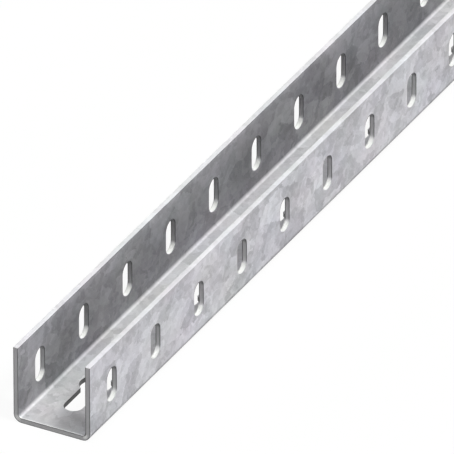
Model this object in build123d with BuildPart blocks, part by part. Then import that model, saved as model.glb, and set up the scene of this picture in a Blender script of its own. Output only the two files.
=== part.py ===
"""A slotted U channel of folded and galvanised steel strip.

The channel lies on its base with its open side up. X runs along its length, Y across it and Z up.
The origin is the centre of the underside. Sizes are in millimetres.
"""

from build123d import *
import os

# Section
width = 47.5  # over the outside of both flanges
height = 47.5  # from the underside of the base to the flange tips
wall = 3.0
inner_bend_radius = 2.0
tip_radius = 0.4  # on the strip's rolled edges, which are the flange tips

# Stock length
length = 1000.0

# Slots in the flanges, upright and opposite each other, for the same bolt as the keyholes' slots
slot_width = 11.0
slot_length = 21.0
slot_pitch = 50.0

# Keyholes in the base, each a round hole with a slot to both sides
keyhole_diameter = 18.0
slots_per_keyhole = 2  # slots that a flange has for each keyhole

# From the middle of the channel to a flange's inner face
inner_half = width / 2 - wall

# The slots are centred on the flanges
slot_centre_height = height / 2

# A keyhole's slots end in line with the flange slots before and after it
keyhole_span = slot_pitch
keyhole_pitch = slots_per_keyhole * slot_pitch

# The rows fill the length with whole pitches, so that both ends are cut midway between two slots
slot_count = int(round(length / slot_pitch, 6))  # the rounding keeps a last pitch that fits exactly
keyhole_count = slot_count // slots_per_keyhole
keyhole_row_centre = (keyhole_count * keyhole_pitch - slot_count * slot_pitch) / 2


with BuildPart() as u_channel:
    # The strip's U, drawn along its inner face from one flange tip round both bends to the other
    with BuildSketch(Plane.YZ) as section:
        with BuildLine():
            FilletPolyline(
                (-inner_half, height),
                (-inner_half, wall),
                (inner_half, wall),
                (inner_half, height),
                radius=inner_bend_radius,
            )
            offset(amount=wall, side=Side.RIGHT)
        make_face()
        tips = section.vertices().group_by(Axis.Y)[-1]
        fillet(tips, radius=tip_radius)
    extrude(amount=length / 2, both=True)

    # The slots, cut through both flanges at once
    with BuildSketch(Plane.XZ):
        with Locations((0, slot_centre_height)):
            with GridLocations(slot_pitch, 0, slot_count, 1):
                SlotOverall(slot_length, slot_width, rotation=90)
    extrude(amount=width, both=True, mode=Mode.SUBTRACT)

    # The keyholes, cut through the base
    with BuildSketch(Plane.XY):
        with Locations((keyhole_row_centre, 0)):
            with GridLocations(keyhole_pitch, 0, keyhole_count, 1):
                Circle(keyhole_diameter / 2)
                SlotCenterToCenter(keyhole_span, slot_width)
    extrude(amount=wall, mode=Mode.SUBTRACT)

u_channel.part.label = "u_channel"

os.makedirs("parts", exist_ok=True)
export_step(u_channel.part, "parts/u_channel.step")
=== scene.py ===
"""The slotted U channel as its maker sends it out: folded, punched and hot-dip galvanised.

The channel lies on its base with its open side up. X runs along it, Y across it and Z up, in metres.
"""

import logging
import math
from abc import ABC, abstractmethod
from collections.abc import Iterable
from dataclasses import asdict, dataclass, fields
from enum import Enum

import bmesh
import bpy
from mathutils import Matrix, Vector


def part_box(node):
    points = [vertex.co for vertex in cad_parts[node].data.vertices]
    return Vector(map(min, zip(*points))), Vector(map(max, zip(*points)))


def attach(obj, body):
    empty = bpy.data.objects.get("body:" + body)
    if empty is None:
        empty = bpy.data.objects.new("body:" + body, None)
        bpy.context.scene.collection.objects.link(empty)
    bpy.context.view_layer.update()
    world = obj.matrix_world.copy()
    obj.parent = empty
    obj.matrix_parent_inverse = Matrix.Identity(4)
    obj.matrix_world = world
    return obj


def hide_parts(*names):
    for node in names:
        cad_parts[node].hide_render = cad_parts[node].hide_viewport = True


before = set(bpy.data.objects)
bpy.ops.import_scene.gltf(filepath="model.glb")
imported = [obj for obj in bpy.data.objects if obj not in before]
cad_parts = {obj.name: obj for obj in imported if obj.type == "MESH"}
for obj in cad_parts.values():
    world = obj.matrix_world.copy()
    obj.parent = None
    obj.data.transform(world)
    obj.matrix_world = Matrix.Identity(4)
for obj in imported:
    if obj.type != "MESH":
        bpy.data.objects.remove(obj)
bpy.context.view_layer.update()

log = logging.getLogger("channel")

MM = 0.001
TOUCH = 0.00001  # points nearer than this are one point
LEVEL = 0.99  # a face whose normal rises at least this much lies flat
SHARP = math.radians(60)  # edges that turn by more than this are rounded
MEAN = 0.5  # of a noise, and of a random cell's value

WHITE = (1.0, 1.0, 1.0, 1.0)
WARM = (0.978, 1.0, 0.955)  # the light of the overhead lamps
NEUTRAL = (1.0, 0.995, 1.0)  # the light of the lamps at the sides

Colour = tuple[float, float, float]
Part = bmesh.types.BMVert | bmesh.types.BMEdge | bmesh.types.BMFace
Fed = bpy.types.NodeSocket | float | tuple[float, ...]  # what goes into a node's socket


class EdgeKind(Enum):
    """The edges that the strip's maker leaves, each rounded by its own amount."""

    TIP = "rolled edge along a flange's top"
    RIM = "punched edge round a slot or a keyhole"
    END = "sawn edge round the channel's end"


class Face(Enum):
    """The places of the two finishes on the channel."""

    SHEET = 0
    CUT = 1


class Mask(Enum):
    """What the mesh tells its finishes, one value at each point."""

    RIM = "rim"  # the shade along a hole's edge
    BEND = "bend"  # painted highlight inside the bends, most in their middle, where the zinc is also glossier
    UNDER = "under"  # painted shade outside the bends, and on the painted shade line outside the tips
    TIP = "tip"  # on the flange tips, which get a painted highlight
    FLANK = "flank"  # painted shade on the inner face of a flange
    BED = "bed"  # painted light on the base's inner face
    WELL = "well"  # painted shade on the keyholes' edges
    SILL = "sill"  # painted highlight at the bottom of a slot, and below 0 at its top, where the rim's painted shade widens
    DEPTH = "depth"  # from 0 on the strip's inner side to 1 on its outer side
    LIP = "lip"  # painted highlight on the base along the channel's ends


class MixKind(Enum):
    """What a Mix node mixes: its data type, the numbers of its two inputs and its output's number."""

    VALUE = ("FLOAT", 2, 3, 0)
    COLOUR = ("RGBA", 6, 7, 2)


def within(value: float) -> float:
    """Keeps a value between 0 and 1."""
    return min(max(value, 0.0), 1.0)


def whole(mesh: bmesh.types.BMesh) -> list[Part]:
    """Gives everything that a mesh holds."""
    return [*mesh.verts, *mesh.edges, *mesh.faces]


def placed(name: str, data: bpy.types.ID) -> bpy.types.Object:
    """Makes an object and puts it in the scene.

    Args:
        name: The object's name.
        data: Its mesh, light or camera.

    Returns:
        The object.
    """
    item = bpy.data.objects.new(name, data)
    bpy.context.scene.collection.objects.link(item)
    return item


class Pen:
    """Draws a closed outline in a mesh, from one point on, by straight runs and arcs."""

    def __init__(self, mesh: bmesh.types.BMesh, start: Vector) -> None:
        """Sets the pen down.

        Args:
            mesh: The mesh that the outline is drawn in.
            start: The outline's first point, in the XY plane.
        """
        self.mesh = mesh
        self.first: bmesh.types.BMVert = bmesh.ops.create_vert(mesh, co=start)["vert"][0]
        self.tip = self.first

    def run(self, step: Vector) -> None:
        """Draws a straight run.

        Args:
            step: The way from the pen's place to the run's end.
        """
        made = bmesh.ops.extrude_vert_indiv(self.mesh, verts=[self.tip])
        self.tip = made["verts"][0]
        bmesh.ops.translate(self.mesh, verts=[self.tip], vec=step)

    def arc(self, centre: Vector, angle: float, steps: int) -> None:
        """Draws an arc round a centre.

        Args:
            centre: The arc's centre.
            angle: How far the arc turns to the left, in radians.
            steps: The number of edges in the arc.
        """
        made = bmesh.ops.spin(
            self.mesh,
            geom=[self.tip],
            cent=centre,
            axis=Vector((0, 0, 1)),
            angle=angle,
            steps=steps,
        )
        self.tip = next(part for part in made["geom_last"] if isinstance(part, bmesh.types.BMVert))

    def close(self) -> None:
        """Joins the pen's place to the outline's first point."""
        if (self.tip.co - self.first.co).length > TOUCH:
            bmesh.ops.contextual_create(self.mesh, geom=[self.tip, self.first])
        bmesh.ops.remove_doubles(self.mesh, verts=self.mesh.verts[:], dist=TOUCH)


@dataclass(frozen=True)
class Hole(ABC):
    """A hole that is punched in the strip."""

    steps: int = 20  # edges in each arc of its outline

    @abstractmethod
    def draw(self, mesh: bmesh.types.BMesh, margin: float) -> None:
        """Draws the hole's outline about the origin.

        Args:
            mesh: An empty mesh.
            margin: How far outside the hole's edge the outline runs.
        """

    def shade(self, height: float) -> float:
        """Gives how deep the rim's shade is at a height above the hole's middle: even, if it lies flat."""
        return 1.0

    def sill(self, place: Vector) -> float:
        """Gives how much painted highlight a place on the hole's edge has: none, if it lies flat."""
        return 0.0


@dataclass(frozen=True)
class Slot(Hole):
    """An upright slot with round ends, punched in a flange."""

    width: float = 11.0 * MM
    length: float = 21.0 * MM
    side_shade: float = 0.4  # of the rim's shade at the top
    sill_start: float = 0.14  # where the painted highlight below and the painted shade above start, as a share of a round end's depth
    sill_fade: float = 0.28  # over how much of that depth it fades in
    sill_lean: float = 0.95  # how much less painted highlight there is on the side towards the channel's near end

    def draw(self, mesh: bmesh.types.BMesh, margin: float) -> None:
        """Draws the slot's outline about the origin, as Hole.draw says."""
        radius = self.width / 2 + margin
        straight = self.length - self.width
        pen = Pen(mesh, Vector((radius, -straight / 2, 0)))
        pen.run(Vector((0, straight, 0)))
        pen.arc(Vector((0, straight / 2, 0)), math.pi, self.steps)
        pen.run(Vector((0, -straight, 0)))
        pen.arc(Vector((0, -straight / 2, 0)), math.pi, self.steps)
        pen.close()

    def shade(self, height: float) -> float:
        """Gives how deep the rim's shade is at a height above the slot's middle: deepest at the top."""
        rise = max(2 * height / self.length, 0.0)
        return self.side_shade + (1 - self.side_shade) * rise**2

    def sill(self, place: Vector) -> float:
        """Gives the painted light at a place on the slot's edge: below 0 at the top, which marks painted
        shade, and a painted highlight below.
        """
        end = (2 * abs(place.y) - self.length + self.width) / self.width
        share = within((end - self.sill_start) / self.sill_fade)
        if place.y > 0:
            return -share
        near_side = max(-2 * place.x / self.width, 0.0)
        return share * (1 - self.sill_lean * near_side)


@dataclass(frozen=True)
class Keyhole(Hole):
    """A round hole with a slot to both sides, punched in the base."""

    diameter: float = 18.0 * MM
    slot_width: float = 11.0 * MM
    span: float = 50.0 * MM  # between the centres of the slots' round ends

    def draw(self, mesh: bmesh.types.BMesh, margin: float) -> None:
        """Draws the keyhole's outline about the origin, as Hole.draw says."""
        round_radius = self.diameter / 2 + margin
        slot_radius = self.slot_width / 2 + margin
        lean = math.asin(slot_radius / round_radius)
        corner = round_radius * math.cos(lean)
        straight = Vector((self.span / 2 - corner, 0, 0))
        end = Vector((self.span / 2, 0, 0))
        pen = Pen(mesh, Vector((self.span / 2, -slot_radius, 0)))
        pen.arc(end, math.pi, self.steps)
        pen.run(-straight)
        pen.arc(Vector(), math.pi - 2 * lean, self.steps)
        pen.run(-straight)
        pen.arc(-end, math.pi, self.steps)
        pen.run(straight)
        pen.arc(Vector(), math.pi - 2 * lean, self.steps)
        pen.close()


@dataclass(frozen=True)
class PunchedRow:
    """A flat row of equal panels, each with one hole in its middle."""

    hole: Hole
    pitch: float
    height: float
    count: int
    hole_height: float  # of the hole's centre above the panel's lower edge
    pitch_cuts: int  # in each side of a panel's border that runs along the row
    height_cuts: int  # in each upright side of it
    line: float = 0.22 * MM  # the band of painted shade round a hole
    collar: float = 0.6 * MM  # the even band of faces round a hole, the line among them

    def panel(self) -> bmesh.types.BMesh:
        """Makes one panel, in the XY plane, with its lower left corner at the origin.

        Returns:
            The panel's mesh, with the layers "rim" and "sill", which carry painted shade and painted
            highlight, filled in along its hole.
        """
        mesh = bmesh.new()
        rim = mesh.verts.layers.float.new(Mask.RIM.value)
        sill = mesh.verts.layers.float.new(Mask.SILL.value)
        self.hole.draw(mesh, self.collar)
        filled = bmesh.ops.contextual_create(mesh, geom=mesh.edges[:])["faces"]
        outline = set(filled[0].verts)
        self.inset(mesh, filled, self.collar - self.line)
        # the collar's inner ring: painted shade round each slot's top
        for vert in filled[0].verts:
            vert[rim] = max(-self.hole.sill(vert.co), 0.0)
        self.inset(mesh, filled, self.line)
        # the hole's edge: the rim's painted shade and the sill's painted highlight
        for vert in filled[0].verts:
            vert[rim] = self.hole.shade(vert.co.y)
            vert[sill] = self.hole.sill(vert.co)
        bmesh.ops.delete(mesh, geom=filled, context="FACES_ONLY")
        middle = Vector((self.pitch / 2, self.hole_height, 0))
        bmesh.ops.translate(mesh, verts=mesh.verts[:], vec=middle)
        outer = [edge for edge in mesh.edges if edge.verts[0] in outline and edge.verts[1] in outline]
        border = self.border(mesh)
        bmesh.ops.bridge_loops(mesh, edges=outer + border)
        return mesh

    @staticmethod
    def inset(mesh: bmesh.types.BMesh, filled: list[bmesh.types.BMFace], band: float) -> None:
        """Shrinks the face that fills the hole, and leaves an even band of faces round it.

        Args:
            mesh: The mesh that holds the face.
            filled: The face, in a list.
            band: The band's width.
        """
        bmesh.ops.inset_region(
            mesh, faces=filled, thickness=band, use_boundary=True, use_even_offset=True
        )

    def border(self, mesh: bmesh.types.BMesh) -> list[bmesh.types.BMEdge]:
        """Draws a panel's border round the hole's collar.

        Args:
            mesh: The mesh that holds the collar.

        Returns:
            The border's edges.
        """
        collar = set(mesh.edges)
        pen = Pen(mesh, Vector())
        pen.run(Vector((self.pitch, 0, 0)))
        pen.run(Vector((0, self.height, 0)))
        pen.run(Vector((-self.pitch, 0, 0)))
        pen.close()
        sides = [edge for edge in mesh.edges if edge not in collar]
        along = [edge for edge in sides if abs(edge.verts[0].co.y - edge.verts[1].co.y) < TOUCH]
        up = [edge for edge in sides if edge not in along]
        bmesh.ops.subdivide_edges(mesh, edges=along, cuts=self.pitch_cuts)
        bmesh.ops.subdivide_edges(mesh, edges=up, cuts=self.height_cuts)
        return [edge for edge in mesh.edges if edge not in collar]

    def lay(self, mesh: bmesh.types.BMesh, place: Matrix) -> None:
        """Lays the whole row in a mesh.

        Args:
            mesh: The mesh that takes the row.
            place: The place of the row's lower left corner, and its turn.
        """
        panel = self.panel()
        known = set(mesh.verts)
        data = bpy.data.meshes.new("panel")
        panel.to_mesh(data)
        panel.free()
        mesh.from_mesh(data)
        bpy.data.meshes.remove(data)
        laid = [vert for vert in mesh.verts if vert not in known]
        first = self.with_edges_and_faces(laid)
        for number in range(1, self.count):
            copy = bmesh.ops.duplicate(mesh, geom=first)["geom"]
            verts = [part for part in copy if isinstance(part, bmesh.types.BMVert)]
            bmesh.ops.translate(mesh, verts=verts, vec=Vector((number * self.pitch, 0, 0)))
            laid += verts
        bmesh.ops.transform(mesh, matrix=place, verts=laid)

    @staticmethod
    def with_edges_and_faces(verts: list[bmesh.types.BMVert]) -> list[Part]:
        """Gives the vertices together with their edges and faces."""
        edges = {edge for vert in verts for edge in vert.link_edges}
        faces = {face for vert in verts for face in vert.link_faces}
        return [*verts, *edges, *faces]


@dataclass(frozen=True)
class Rounding:
    """How far the channel's edges are rounded."""

    tip: float = 0.3 * MM
    rim: float = 0.12 * MM
    end: float = 0.16 * MM
    segments: int = 3

    def share(self, kind: EdgeKind) -> float:
        """Gives an edge's rounding as a share of the widest."""
        widths = {EdgeKind.TIP: self.tip, EdgeKind.RIM: self.rim, EdgeKind.END: self.end}
        return widths[kind] / self.tip


@dataclass(frozen=True)
class SlottedChannel:
    """The one piece: a strip of steel, punched, folded to a U and galvanised."""

    low: Vector
    high: Vector
    wall: float = 3.0 * MM
    inner_bend: float = 2.0 * MM
    bend_steps: int = 10
    slot_pitch: float = 50.0 * MM
    slots_per_keyhole: int = 2
    slot: Slot = Slot()
    keyhole: Keyhole = Keyhole()
    rounding: Rounding = Rounding()
    flange_pitch_cuts: int = 9  # in a panel's border, as PunchedRow says
    flange_height_cuts: int = 8
    base_pitch_cuts: int = 19
    base_height_cuts: int = 7
    edge_row: float = 0.36 * MM  # between the rows of points close to a tip or a bend
    lip: float = 1.6 * MM  # the strip of painted highlight on the base along the channel's ends
    under_power: float = 1.2  # how narrow the painted shade along the outer bend is
    bend_power: float = 1.35  # how narrow the painted highlight along the inner bend is
    flank_fade: float = 0.56  # of the inner face's painted shade, gone at the tip
    fade_start: float = 0.3  # where it starts to go, as a share of the way up from the bend
    fade_run: float = 0.5  # over how much of that way it goes
    inner_line_shade: float = 1.2  # how deep the painted shade line below the tip is inside, added to the inner face's painted shade
    outer_line_shade: float = 0.2  # how deep the painted shade line below the tip is outside, as a share of the painted shade along the outer bend

    @property
    def length(self) -> float:
        """The length of the stock."""
        return self.high.x - self.low.x

    @property
    def inner_half(self) -> float:
        """From the middle of the channel to a flange's inner face."""
        return self.high.y - self.wall

    @property
    def flat_half(self) -> float:
        """From the middle of the channel to the foot of a bend."""
        return self.inner_half - self.inner_bend

    @property
    def bend_top(self) -> float:
        """The height at which a bend runs into its flange."""
        return self.low.z + self.wall + self.inner_bend

    def build(self, finishes: dict[Face, bpy.types.Material]) -> bpy.types.Object:
        """Makes the channel.

        Args:
            finishes: The material of each kind of face.

        Returns:
            The channel's object.
        """
        mesh = bmesh.new()
        for mask in Mask:
            mesh.verts.layers.float.new(mask.value)
        self.lay_flange(mesh)
        self.bend_foot(mesh)
        self.mirror_flange(mesh)
        self.lay_base(mesh)
        self.close_seams(mesh)
        self.add_rows(mesh)
        self.thicken(mesh)
        self.mark_edges(mesh)
        data = bpy.data.meshes.new("channel_strip")
        mesh.to_mesh(data)
        mesh.free()
        data.polygons.foreach_set("use_smooth", [True] * len(data.polygons))
        for face in Face:
            data.materials.append(finishes[face])
        channel = placed("channel_strip", data)
        self.round_edges(channel)
        return channel

    def lay_flange(self, mesh: bmesh.types.BMesh) -> None:
        """Stands the left flange's inner face up, with its slots."""
        row = PunchedRow(
            hole=self.slot,
            pitch=self.slot_pitch,
            height=self.high.z - self.bend_top,
            count=round(self.length / self.slot_pitch),
            hole_height=(self.low.z + self.high.z) / 2 - self.bend_top,
            pitch_cuts=self.flange_pitch_cuts,
            height_cuts=self.flange_height_cuts,
        )
        foot = Vector((self.low.x, self.inner_half, self.bend_top))
        row.lay(mesh, Matrix.Translation(foot) @ Matrix.Rotation(math.pi / 2, 4, "X"))

    def bend_foot(self, mesh: bmesh.types.BMesh) -> None:
        """Spins the flange's lower edge round the bend, down to the base."""
        foot = [
            edge
            for edge in mesh.edges
            if all(abs(vert.co.z - self.bend_top) < TOUCH for vert in edge.verts)
        ]
        bmesh.ops.spin(
            mesh,
            geom=foot,
            cent=Vector((0, self.flat_half, self.bend_top)),
            axis=Vector((1, 0, 0)),
            angle=-math.pi / 2,
            steps=self.bend_steps,
        )

    def mirror_flange(self, mesh: bmesh.types.BMesh) -> None:
        """Mirrors the flange and its bend to the right side."""
        bmesh.ops.mirror(mesh, geom=whole(mesh), merge_dist=0.0, axis="Y")

    def lay_base(self, mesh: bmesh.types.BMesh) -> None:
        """Lays the base's inner face between the bends, with its keyholes."""
        pitch = self.slots_per_keyhole * self.slot_pitch
        row = PunchedRow(
            hole=self.keyhole,
            pitch=pitch,
            height=2 * self.flat_half,
            count=round(self.length / pitch),
            hole_height=self.flat_half,
            pitch_cuts=self.base_pitch_cuts,
            height_cuts=self.base_height_cuts,
        )
        corner = Vector((self.low.x, -self.flat_half, self.low.z + self.wall))
        row.lay(mesh, Matrix.Translation(corner))

    def close_seams(self, mesh: bmesh.types.BMesh) -> None:
        """Merges the panels and turns every face to the channel's inside."""
        bmesh.ops.remove_doubles(mesh, verts=mesh.verts[:], dist=TOUCH)
        bmesh.ops.recalc_face_normals(mesh, faces=mesh.faces[:])
        base = next(face for face in mesh.faces if abs(face.normal.z) > LEVEL)
        if base.normal.z < 0:
            bmesh.ops.reverse_faces(mesh, faces=mesh.faces[:])

    def add_rows(self, mesh: bmesh.types.BMesh) -> None:
        """Cuts rows of edges close to the tips, the bends and the ends, which keep each mask narrow."""
        # the first of these rows carries the painted shade line below the tips
        shade_line = self.high.z - self.edge_row
        heights = (shade_line, shade_line - self.edge_row, self.bend_top + self.edge_row)
        rows = [Vector((0, 0, height)) for height in heights]
        rows += [Vector((self.low.x + self.lip, 0, 0)), Vector((self.high.x - self.lip, 0, 0))]
        for row in rows:
            bmesh.ops.bisect_plane(
                mesh, geom=whole(mesh), dist=TOUCH, plane_co=row, plane_no=row.normalized()
            )

    def thicken(self, mesh: bmesh.types.BMesh) -> None:
        """Gives the strip its wall, outwards from the inner face, and marks its points and faces."""
        inner = set(mesh.verts)
        bmesh.ops.solidify(mesh, geom=whole(mesh), thickness=self.wall)
        self.mark_points(mesh, inner)
        self.mark_faces(mesh, inner)

    def mark_points(self, mesh: bmesh.types.BMesh, inner: set[bmesh.types.BMVert]) -> None:
        """Fills in the masks that follow from where a point lies.

        Args:
            mesh: The thickened strip.
            inner: Its points on the inner face.
        """
        layer = {mask: mesh.verts.layers.float[mask.value] for mask in Mask}
        for vert in mesh.verts:
            turn = self.turn(vert.co)
            if vert in inner:
                vert[layer[Mask.BEND]] = math.sin(2 * turn) ** self.bend_power
                vert[layer[Mask.FLANK]] = math.cos(turn) * self.flank_shade(vert.co.z)
                vert[layer[Mask.BED]] = math.sin(turn)
                vert[layer[Mask.LIP]] = math.sin(turn) * float(abs(vert.co.x) > self.high.x - TOUCH)
            else:
                line = math.sin(2 * turn) ** self.under_power
                vert[layer[Mask.UNDER]] = line + self.outer_line_shade * self.shade_line(vert.co.z)
            vert[layer[Mask.DEPTH]] = float(vert not in inner)
            vert[layer[Mask.TIP]] = float(vert.co.z > self.high.z - TOUCH)
            vert[layer[Mask.WELL]] = vert[layer[Mask.RIM]] * float(vert.co.z < self.bend_top - TOUCH)

    def mark_faces(self, mesh: bmesh.types.BMesh, inner: set[bmesh.types.BMVert]) -> None:
        """Gives the punched and sawn faces one finish, and the sheet and its rolled tips the other.

        Args:
            mesh: The thickened strip.
            inner: Its points on the inner face.
        """
        tip = mesh.verts.layers.float[Mask.TIP.value]
        for face in mesh.faces:
            sides = {vert in inner for vert in face.verts}
            cut = len(sides) == 2 and not all(vert[tip] for vert in face.verts)
            face.material_index = Face.CUT.value if cut else Face.SHEET.value

    def flank_shade(self, height: float) -> float:
        """Gives how deep the painted shade on the inner face is at a height: most at the bend and on the
        painted shade line below the tip.
        """
        if height > self.high.z - TOUCH:
            return 0.0
        rise = (height - self.bend_top) / (self.high.z - self.bend_top)
        share = within((rise - self.fade_start) / self.fade_run)
        smooth = share**2 * (3 - 2 * share)
        return 1 - self.flank_fade * smooth + self.inner_line_shade * self.shade_line(height)

    def shade_line(self, height: float) -> float:
        """Gives 1 at the height of the thin painted shade line below the tip, and 0 at any other."""
        return float(abs(height - self.high.z + self.edge_row) < TOUCH)

    def turn(self, place: Vector) -> float:
        """Gives how far the strip has turned from upright at a point: a right angle on the base."""
        across = abs(place.y) - self.flat_half
        down = self.bend_top - place.z
        if across < TOUCH:
            return math.pi / 2
        return math.atan2(max(down, 0.0), across)

    def mark_edges(self, mesh: bmesh.types.BMesh) -> None:
        """Marks each sharp edge with its rounding."""
        weight = mesh.edges.layers.float.new("bevel_weight_edge")
        for edge in mesh.edges:
            if len(edge.link_faces) == 2 and edge.calc_face_angle() > SHARP:
                edge[weight] = self.rounding.share(self.kind_of(edge))

    def kind_of(self, edge: bmesh.types.BMEdge) -> EdgeKind:
        """Tells which kind a sharp edge is, from where it lies."""
        points = [vert.co for vert in edge.verts]
        if all(abs(abs(point.x) - self.high.x) < TOUCH for point in points):
            return EdgeKind.END
        if all(abs(point.z - self.high.z) < TOUCH for point in points):
            return EdgeKind.TIP
        return EdgeKind.RIM

    def round_edges(self, channel: bpy.types.Object) -> None:
        """Adds the modifiers that round the marked edges and keep the flats flat."""
        bevel = channel.modifiers.new("rounded_edges", "BEVEL")
        bevel.limit_method = "WEIGHT"
        bevel.width = self.rounding.tip
        bevel.segments = self.rounding.segments
        flats = channel.modifiers.new("flat_faces", "WEIGHTED_NORMAL")
        flats.keep_sharp = True


class NodeBoard:
    """Adds nodes to a node tree and joins them."""

    def __init__(self, tree: bpy.types.NodeTree) -> None:
        """Takes the tree that the nodes go into."""
        self.tree = tree

    @classmethod
    def on(cls, owner: bpy.types.Material | bpy.types.World) -> "NodeBoard":
        """Empties the node tree of a material or a world, and gives a board for it."""
        owner.use_nodes = True
        owner.node_tree.nodes.clear()
        return cls(owner.node_tree)

    def add(
        self, kind: str, inputs: dict[str | int, Fed] | None = None, **settings: object
    ) -> bpy.types.Node:
        """Adds a node.

        Args:
            kind: The node's type.
            inputs: What goes into the node's sockets, by name or number: a socket or a value.
            settings: The node's own settings.

        Returns:
            The new node.
        """
        node = self.tree.nodes.new(kind)
        for name, value in settings.items():
            setattr(node, name, value)
        for name, value in (inputs or {}).items():
            self.feed(node.inputs[name], value)
        return node

    def feed(self, target: bpy.types.NodeSocket, value: Fed) -> None:
        """Joins a socket to an input, or sets the input's value."""
        if isinstance(value, bpy.types.NodeSocket):
            self.tree.links.new(value, target)
        else:
            target.default_value = value

    def maths(self, operation: str, *values: Fed, clamp: bool = False) -> bpy.types.NodeSocket:
        """Adds a Math node and gives its result."""
        inputs = dict(enumerate(values))
        node = self.add("ShaderNodeMath", inputs, operation=operation, use_clamp=clamp)
        return node.outputs[0]

    def vector(self, operation: str, *values: Fed) -> bpy.types.NodeSocket:
        """Adds a Vector Math node and gives its result."""
        node = self.add("ShaderNodeVectorMath", dict(enumerate(values)), operation=operation)
        return node.outputs[0]

    def mix(
        self, kind: MixKind, share: Fed, first: Fed, second: Fed, **settings: object
    ) -> bpy.types.NodeSocket:
        """Mixes two values or two colours.

        Args:
            kind: Which of these it mixes.
            share: How much of the second goes in.
            first: What the mix starts from.
            second: What is mixed in.
            settings: The Mix node's other settings.

        Returns:
            The result.
        """
        data_type, first_input, second_input, output = kind.value
        inputs = {0: share, first_input: first, second_input: second}
        node = self.add("ShaderNodeMix", inputs, data_type=data_type, **settings)
        return node.outputs[output]

    def multiply(self, first: Fed, second: Fed) -> bpy.types.NodeSocket:
        """Multiplies two colours, or a colour by a value, and gives the result, at most white."""
        return self.mix(MixKind.COLOUR, 1.0, first, second, blend_type="MULTIPLY", clamp_result=True)

    def spread(
        self, value: Fed, low: float, high: float, start: float, end: float
    ) -> bpy.types.NodeSocket:
        """Maps a value smoothly from one range to another.

        Args:
            value: The value.
            low: The lower end of the value's range.
            high: The upper end of it.
            start: What the result is at the lower end and below.
            end: What it is at the upper end and above.

        Returns:
            The result.
        """
        ends = {"Value": value, "From Min": low, "From Max": high, "To Min": start, "To Max": end}
        return self.add("ShaderNodeMapRange", ends, interpolation_type="SMOOTHSTEP").outputs[0]

    def mix_shaders(
        self, share: Fed, first: bpy.types.Node, second: bpy.types.Node
    ) -> bpy.types.Node:
        """Adds the node that mixes two shaders, by the second one's share."""
        return self.add(
            "ShaderNodeMixShader", {0: share, 1: first.outputs[0], 2: second.outputs[0]}
        )


@dataclass(frozen=True)
class Grain:
    """One size of noise in the zinc."""

    scale: float  # waves to the metre
    detail: float
    roughness: float = 0.5
    distortion: float = 0.0

    def grow(self, board: NodeBoard, place: bpy.types.NodeSocket) -> bpy.types.Node:
        """Adds the noise's node."""
        inputs = {
            "Vector": place,
            "Scale": self.scale,
            "Detail": self.detail,
            "Roughness": self.roughness,
            "Distortion": self.distortion,
        }
        return board.add("ShaderNodeTexNoise", inputs)


@dataclass(frozen=True)
class SpangleShares:
    """How strongly each layer of the spangle shows in a finish."""

    cloud: float
    flake: float
    fleck: float
    frost: float
    run: float
    hue: float


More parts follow.
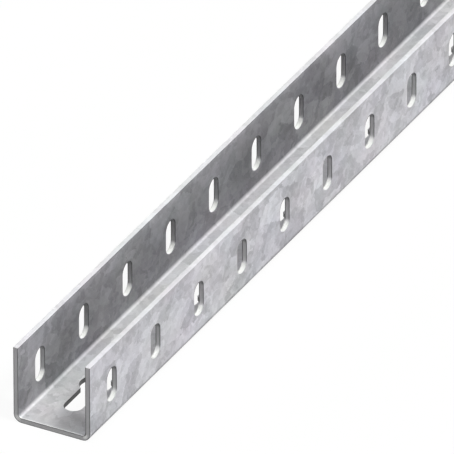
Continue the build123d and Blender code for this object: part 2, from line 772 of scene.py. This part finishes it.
@dataclass(frozen=True)
class SpanglePattern:
    """The frozen flakes of a zinc bath, as a node group that more than one finish uses."""

    name: str = "zinc_spangle"
    warp: Grain = Grain(120.0, detail=5.0, roughness=0.65)  # what makes a flake's outline wander
    ragged: float = 9.0 * MM  # how far it wanders
    lean: float = math.radians(32)  # of the flakes' long side, from the channel's length
    along: float = 0.85  # how many flakes there are along the channel for each one across it
    cloud: Grain = Grain(42.0, detail=3.0, roughness=0.55, distortion=0.8)
    flake: float = 85.0  # flakes to the metre
    fleck: float = 290.0  # small flakes to the metre
    frost: Grain = Grain(900.0, detail=2.0, roughness=0.7)  # the feathers inside a flake
    run: Grain = Grain(380.0, detail=3.0)  # upright runs of zinc
    run_stretch: float = 0.14  # of a run's width to its length
    hue: Grain = Grain(38.0, detail=2.0, roughness=0.6)  # tinted patches
    frost_relief: float = 0.3  # how high the feathers stand, as a share of the flakes' relief

    def build(self) -> bpy.types.NodeTree:
        """Makes the group.

        Returns:
            A group with the input Vector and one for each of SpangleShares. Its outputs are Tone,
            about one half, Tint, a colour about white, and Relief.
        """
        group = bpy.data.node_groups.new(self.name, "ShaderNodeTree")
        face = group.interface
        face.new_socket("Vector", in_out="INPUT", socket_type="NodeSocketVector")
        for share in fields(SpangleShares):
            face.new_socket(share.name.capitalize(), in_out="INPUT", socket_type="NodeSocketFloat")
        face.new_socket("Tone", in_out="OUTPUT", socket_type="NodeSocketFloat")
        face.new_socket("Tint", in_out="OUTPUT", socket_type="NodeSocketColor")
        face.new_socket("Relief", in_out="OUTPUT", socket_type="NodeSocketFloat")
        board = NodeBoard(group)
        given = board.add("NodeGroupInput").outputs
        result = board.add("NodeGroupOutput").inputs
        ragged = self.ragged_place(board, given["Vector"])
        flake = self.cells(board, ragged, self.flake)
        fleck = self.cells(board, ragged, self.fleck)
        frost = self.frost.grow(board, ragged)
        upright = board.vector("MULTIPLY", ragged, (1.0, 1.0, self.run_stretch))
        layers = {
            "Cloud": self.cloud.grow(board, ragged).outputs["Fac"],
            "Flake": flake.outputs["Red"],
            "Fleck": fleck.outputs["Red"],
            "Frost": frost.outputs["Fac"],
            "Run": self.run.grow(board, upright).outputs["Fac"],
        }
        tone: Fed = MEAN
        for share, layer in layers.items():
            centred = board.maths("SUBTRACT", layer, MEAN)
            tone = board.maths("MULTIPLY_ADD", centred, given[share], tone)
        hue = board.vector("SUBTRACT", self.hue.grow(board, ragged).outputs["Color"], (MEAN,) * 3)
        strength = board.add("ShaderNodeCombineXYZ", {axis: given["Hue"] for axis in range(3)})
        tint = board.vector("MULTIPLY_ADD", hue, strength.outputs[0], WHITE[:3])
        relief = board.maths(
            "MULTIPLY_ADD", frost.outputs["Fac"], self.frost_relief, flake.outputs["Blue"]
        )
        board.feed(result["Tone"], tone)
        board.feed(result["Tint"], tint)
        board.feed(result["Relief"], relief)
        return group

    def ragged_place(self, board: NodeBoard, place: bpy.types.NodeSocket) -> bpy.types.NodeSocket:
        """Leans and warps the places on the channel, so that flakes come out long and ragged.

        Args:
            board: The group's board.
            place: The places on the channel.

        Returns:
            The places in the pattern.
        """
        lie = {"Vector": place, "Rotation": (0, self.lean, 0), "Scale": (self.along, 1, 1)}
        leaning = board.add("ShaderNodeMapping", lie).outputs[0]
        warp = self.warp.grow(board, leaning).outputs["Color"]
        shift = board.vector("SUBTRACT", warp, (MEAN,) * 3)
        return board.vector("MULTIPLY_ADD", shift, (self.ragged,) * 3, leaning)

    @staticmethod
    def cells(board: NodeBoard, place: bpy.types.NodeSocket, scale: float) -> bpy.types.Node:
        """Adds a pattern of cells, and gives the node that parts their random colours."""
        cells = board.add("ShaderNodeTexVoronoi", {"Vector": place, "Scale": scale})
        return board.add("ShaderNodeSeparateColor", {"Color": cells.outputs["Color"]})


@dataclass(frozen=True)
class Gains:
    """What a finish is multiplied by where a mask is 1, with the masks' names, in order of use: painted
    highlights in the bends, on the tips, at the slots' sills and along the base's ends, painted light on the
    base, and painted shade outside the bends, along the holes' rims, on the flanges' inner faces and on the
    keyholes' edges.
    """

    bend: float = 1.0
    under: float = 1.0
    tip: float = 1.0
    rim: float = 1.0
    flank: float = 1.0
    bed: float = 1.0
    well: float = 1.0
    sill: float = 1.0
    lip: float = 1.0


@dataclass(frozen=True)
class ZincFinish:
    """Hot-dip zinc on one kind of face."""

    name: str
    dark: Colour
    light: Colour
    shares: SpangleShares
    gains: Gains
    metallic: float
    roughness: float
    gloss_tones: tuple[float, float] = (0.2, 0.8)  # of the roughest and of the glossiest zinc
    gloss_range: float = 0.06  # how far these are from the mean roughness
    bend_metallic: float = 0.3
    bend_roughness: float = 0.32
    line_gain: float = 1.0  # painted shade along both edges of a cut face
    line_floor: float = 0.85  # how much of that line an end face has
    line_width: float = 0.25  # as a share of the wall
    sill_cover: float = 0.75  # how much of that line the painted highlight at a slot's sill covers
    calm: float = 0.6  # how far the spangle fades on the tips and in the bends
    bed_calm: float = 0.3  # how far it fades on the base
    painted_warm_light: Colour = (1.0, 1.0, 0.98)  # painted warm light on the tips and the base
    relief: float = 0.012 * MM

    def build(self, pattern: bpy.types.NodeTree) -> bpy.types.Material:
        """Makes the material.

        Args:
            pattern: The spangle's node group.

        Returns:
            The material.
        """
        material = bpy.data.materials.new(self.name)
        board = NodeBoard.on(material)
        spangle = board.add("ShaderNodeGroup", node_tree=pattern)
        board.feed(spangle.inputs["Vector"], board.add("ShaderNodeTexCoord").outputs["Object"])
        for share, amount in asdict(self.shares).items():
            spangle.inputs[share.capitalize()].default_value = amount
        calm = self.calmness(board)
        tone = board.mix(MixKind.VALUE, calm, spangle.outputs["Tone"], MEAN)
        bend = self.mask(board, Mask.BEND)
        rougher, glossier = self.roughness + self.gloss_range, self.roughness - self.gloss_range
        rough = board.spread(tone, *self.gloss_tones, rougher, glossier)
        relief = {"Height": spangle.outputs["Relief"], "Distance": self.relief, "Strength": 1.0}
        inputs = {
            "Base Color": self.paint(board, tone, spangle.outputs["Tint"]),
            "Roughness": board.mix(MixKind.VALUE, bend, rough, self.bend_roughness),
            "Metallic": board.mix(MixKind.VALUE, bend, self.metallic, self.bend_metallic),
            "Normal": board.add("ShaderNodeBump", relief).outputs["Normal"],
        }
        shader = board.add("ShaderNodeBsdfPrincipled", inputs)
        board.add("ShaderNodeOutputMaterial", {"Surface": shader.outputs["BSDF"]})
        return material

    def calmness(self, board: NodeBoard) -> bpy.types.NodeSocket:
        """Gives how far the spangle fades."""
        tips_and_bends = board.maths("MAXIMUM", self.mask(board, Mask.TIP), self.mask(board, Mask.BEND))
        tips_and_bends_calm = board.maths("MULTIPLY", tips_and_bends, self.calm)
        level_calm = board.maths("MULTIPLY", self.mask(board, Mask.BED), self.bed_calm)
        return board.maths("MAXIMUM", tips_and_bends_calm, level_calm)

    def paint(
        self, board: NodeBoard, tone: bpy.types.NodeSocket, tint: bpy.types.NodeSocket
    ) -> bpy.types.NodeSocket:
        """Colours the zinc: first its flakes, then the tint and the painted warm light on the tips and the
        base, then the gains, which paint light and shade, and the painted shade of the lines.

        Args:
            board: The material's board.
            tone: The flakes' tone, from dark to light.
            tint: The flakes' tint.

        Returns:
            The colour.
        """
        grey = board.mix(MixKind.COLOUR, tone, (*self.dark, 1), (*self.light, 1))
        # painted warm light on the tips and the base
        level = board.maths("MAXIMUM", self.mask(board, Mask.TIP), self.mask(board, Mask.BED))
        painted_warm_light = board.mix(MixKind.COLOUR, level, WHITE, (*self.painted_warm_light, 1))
        colour = board.multiply(board.multiply(grey, tint), painted_warm_light)
        # the gains paint highlights, light and shade where their masks are
        for mask, gain in asdict(self.gains).items():
            if gain != 1.0:
                share = board.maths("MULTIPLY_ADD", self.mask(board, Mask(mask)), gain - 1, 1.0)
                colour = board.multiply(colour, share)
        # painted shade along both edges of each cut face
        if self.line_gain != 1.0:
            colour = board.multiply(colour, self.lines(board))
        return colour

    def lines(self, board: NodeBoard) -> bpy.types.NodeSocket:
        """Gives the shade of the thin lines along both edges of a cut face."""
        off_middle = board.maths("MULTIPLY_ADD", self.mask(board, Mask.DEPTH), 2.0, -1.0)
        outwards = board.maths("ABSOLUTE", off_middle)
        edge = board.spread(outwards, 1 - 2 * self.line_width, 1 - self.line_width / 2, 0.0, 1.0)
        rim = self.mask(board, Mask.RIM)
        share = board.maths("MULTIPLY_ADD", rim, 1 - self.line_floor, self.line_floor)
        bright = board.maths("MAXIMUM", self.mask(board, Mask.SILL), 0.0)
        kept = board.maths("MULTIPLY_ADD", bright, -self.sill_cover, 1.0)
        line = board.maths("MULTIPLY", board.maths("MULTIPLY", edge, share), kept)
        return board.maths("MULTIPLY_ADD", line, self.line_gain - 1, 1.0)

    @staticmethod
    def mask(board: NodeBoard, mask: Mask) -> bpy.types.NodeSocket:
        """Gives one of the masks that the channel's mesh carries."""
        return board.add("ShaderNodeAttribute", attribute_name=mask.value).outputs["Fac"]


@dataclass(frozen=True)
class SoftLamp:
    """A far softbox: light from one direction, spread over a wide angle."""

    name: str
    towards: Vector  # the way the light travels
    spread: float
    level: float  # what a white surface square to the lamp renders as
    colour: Colour

    def hang(self) -> None:
        """Puts the lamp in the scene."""
        light = bpy.data.lights.new(self.name, "SUN")
        light.angle = self.spread
        light.energy = self.level * math.pi
        light.color = self.colour
        lamp = placed(self.name, light)
        lamp.visible_glossy = False  # the zinc mirrors the white studio, not the lamps
        lamp.rotation_mode = "QUATERNION"
        lamp.rotation_quaternion = self.towards.to_track_quat("-Z", "Y")


@dataclass(frozen=True)
class Studio:
    """A white floor and world, and the lamps over them."""

    floor_half: float = 60.0
    floor_glow: float = 0.93  # how much of the floor's white is its own, and takes no shadow
    floor_grey: float = 0.08  # what the floor throws back at the channel
    ambient: float = 0.03
    lamps: tuple[SoftLamp, ...] = (
        SoftLamp("overhead_key", Vector((0, 0.55, -1)), math.radians(18), level=0.72, colour=WARM),
        SoftLamp("overhead_soft", Vector((0, 0, -1)), math.radians(34), level=0.28, colour=WARM),
        SoftLamp("side_fill", Vector((0, 1, -0.015)), math.radians(6), level=0.41, colour=NEUTRAL),
        SoftLamp("front_fill", Vector((0.7, 1, -0.1)), math.radians(30), level=0.50, colour=NEUTRAL),
        SoftLamp("back_fill", Vector((-1, -1.4, -0.2)), math.radians(30), level=0.55, colour=NEUTRAL),
    )

    def build(self) -> bpy.types.Object:
        """Makes the floor, the world and the lamps.

        Returns:
            The floor's object.
        """
        for lamp in self.lamps:
            lamp.hang()
        self.paint_world()
        mesh = bmesh.new()
        bmesh.ops.create_grid(mesh, x_segments=1, y_segments=1, size=self.floor_half)
        data = bpy.data.meshes.new("studio_floor")
        mesh.to_mesh(data)
        mesh.free()
        data.materials.append(self.floor_paint())
        floor = placed("studio_floor", data)
        return floor

    @staticmethod
    def seen(board: NodeBoard) -> bpy.types.NodeSocket:
        """Gives 1 for rays from the camera, or from a gloss or glass that mirrors the background."""
        path = board.add("ShaderNodeLightPath").outputs
        mirrored = board.maths("ADD", path["Is Glossy Ray"], path["Is Transmission Ray"])
        return board.maths("ADD", path["Is Camera Ray"], mirrored, clamp=True)

    def floor_paint(self) -> bpy.types.Material:
        """Makes the floor's white, which still takes the channel's shadow."""
        material = bpy.data.materials.new("studio_floor")
        board = NodeBoard.on(material)
        glow = board.add("ShaderNodeEmission", {"Color": WHITE, "Strength": 1.0})
        paper = board.add("ShaderNodeBsdfDiffuse", {"Color": WHITE})
        dull = board.add("ShaderNodeBsdfDiffuse", {"Color": (*(self.floor_grey,) * 3, 1)})
        white = board.mix_shaders(self.floor_glow, paper, glow)
        chosen = board.mix_shaders(self.seen(board), dull, white)
        board.add("ShaderNodeOutputMaterial", {"Surface": chosen.outputs[0]})
        return material

    def paint_world(self) -> None:
        """Makes the world white to the eye and dim as a light."""
        world = bpy.data.worlds.new("studio_world")
        board = NodeBoard.on(world)
        dim = board.add("ShaderNodeBackground", {"Color": WHITE, "Strength": self.ambient})
        white = board.add("ShaderNodeBackground", {"Color": WHITE, "Strength": 1.0})
        chosen = board.mix_shaders(self.seen(board), dim, white)
        board.add("ShaderNodeOutputWorld", {"Surface": chosen.outputs[0]})
        bpy.context.scene.world = world


@dataclass(frozen=True)
class CatalogueCamera:
    """A very long lens, which keeps the channel's long edges parallel as the photograph does."""

    place: Vector = Vector((-9.16636, -4.76943, 6.20131))
    look: Vector = Vector((0.75061934, 0.40369834, -0.52306621))
    roll: float = math.radians(-0.101)
    lens: float = 1700.0
    sensor: float = 36.0
    near: float = 1.0
    far: float = 200.0

    def stand(self) -> bpy.types.Object:
        """Puts the camera in the scene.

        Returns:
            The camera's object.
        """
        data = bpy.data.cameras.new("catalogue_camera")
        data.lens = self.lens
        data.sensor_width = self.sensor
        data.clip_start = self.near
        data.clip_end = self.far
        camera = placed("catalogue_camera", data)
        turn = self.look.to_track_quat("-Z", "Y").to_matrix() @ Matrix.Rotation(self.roll, 3, "Z")
        camera.rotation_mode = "QUATERNION"
        camera.rotation_quaternion = turn.to_quaternion()
        camera.location = self.place
        bpy.context.scene.camera = camera
        return camera


def finishes() -> dict[Face, bpy.types.Material]:
    """Makes the zinc for the sheet and for its cut edges."""
    pattern = SpanglePattern().build()
    sheet = ZincFinish(
        name="galvanised_sheet",
        dark=(0.33, 0.326, 0.35),
        light=(0.665, 0.658, 0.705),
        shares=SpangleShares(cloud=0.6, flake=0.5, fleck=0.36, frost=0.5, run=0.3, hue=0.09),
        # painted highlights in the bends, on the tips and along the base's ends, painted light on the base,
        # painted shade outside the bends, round the holes and on the flanges' inner faces
        gains=Gains(bend=1.8, under=0.02, tip=1.56, rim=0.08, flank=0.535, bed=1.34, lip=1.45),
        metallic=0.2,
        roughness=0.45,
    )
    cut = ZincFinish(
        name="galvanised_cut_edge",
        dark=(0.74, 0.73, 0.755),
        light=(0.91, 0.905, 0.93),
        shares=SpangleShares(cloud=0.2, flake=0.1, fleck=0.1, frost=0.3, run=0.1, hue=0.05),
        # painted highlights in the bends, on the tips and at the slots' sills, painted shade on the holes'
        # walls and the keyholes' edges
        gains=Gains(bend=1.8, tip=1.56, rim=0.6, well=0.35, sill=1.46),
        metallic=0.0,
        roughness=0.6,
        # painted shade along both edges of each cut face
        line_gain=0.08,
    )
    return {Face.SHEET: sheet.build(pattern), Face.CUT: cut.build(pattern)}


def main() -> None:
    """Builds the channel and its studio, in order."""
    logging.basicConfig(level=logging.INFO, format="%(name)s: %(message)s")
    bpy.context.scene.view_settings.view_transform = "Standard"
    CatalogueCamera().stand()
    log.info("camera stands")
    low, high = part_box("u_channel")
    channel = SlottedChannel(low, high).build(finishes())
    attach(channel, "root")
    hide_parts("u_channel")
    log.info("%s: %d faces before its edges are rounded", channel.name, len(channel.data.polygons))
    floor = Studio().build()
    log.info("%s is laid", floor.name)


if __name__ == "__main__":
    main()
